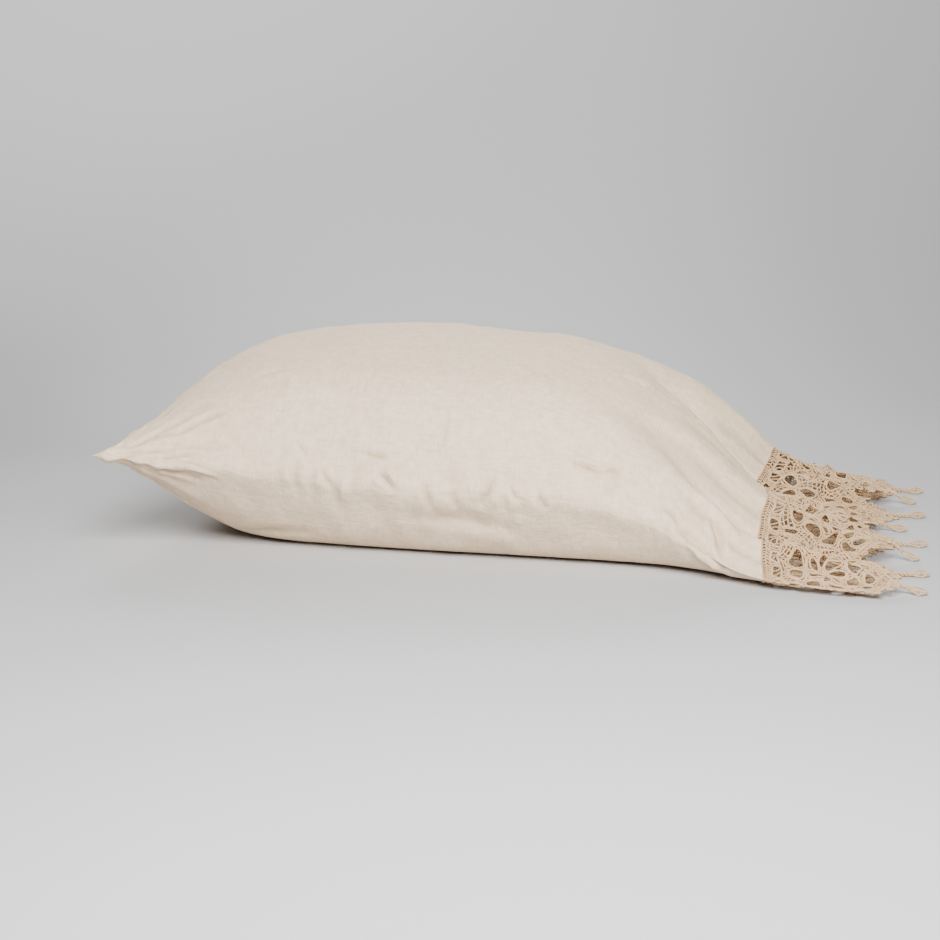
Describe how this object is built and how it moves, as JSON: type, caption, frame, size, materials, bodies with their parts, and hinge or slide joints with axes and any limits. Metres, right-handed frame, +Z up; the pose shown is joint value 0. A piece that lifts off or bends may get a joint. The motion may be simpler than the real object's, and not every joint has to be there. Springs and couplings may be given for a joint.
{
  "type": "pillowcase with crochet lace edge, filled with its pillow",
  "caption": "Filled linen pillowcase lying on its back, with drawn-in sewn corners, a soft crown and an open end edged by a scalloped crochet lace band with small drops.",
  "frame": {"origin": "middle of the part's bounding box, on the surface that it lies on", "axes": "+X from the closed end to the lace, +Y across the case, +Z up"},
  "size_m": [0.7782, 0.486, 0.1951],
  "materials": {
    "linen": "washed plain-weave linen, matt",
    "lace": "unbleached cotton crochet, matt"
  },
  "bodies": {
    "root": {"linen_case": "linen", "lace_band": "lace", "lace_drop_top_1": "lace", "lace_drop_top_2": "lace", "lace_drop_top_3": "lace", "lace_drop_top_4": "lace", "lace_drop_bottom_1": "lace", "lace_drop_bottom_2": "lace", "lace_drop_bottom_3": "lace", "lace_drop_bottom_4": "lace"}
  },
  "joints": []
}
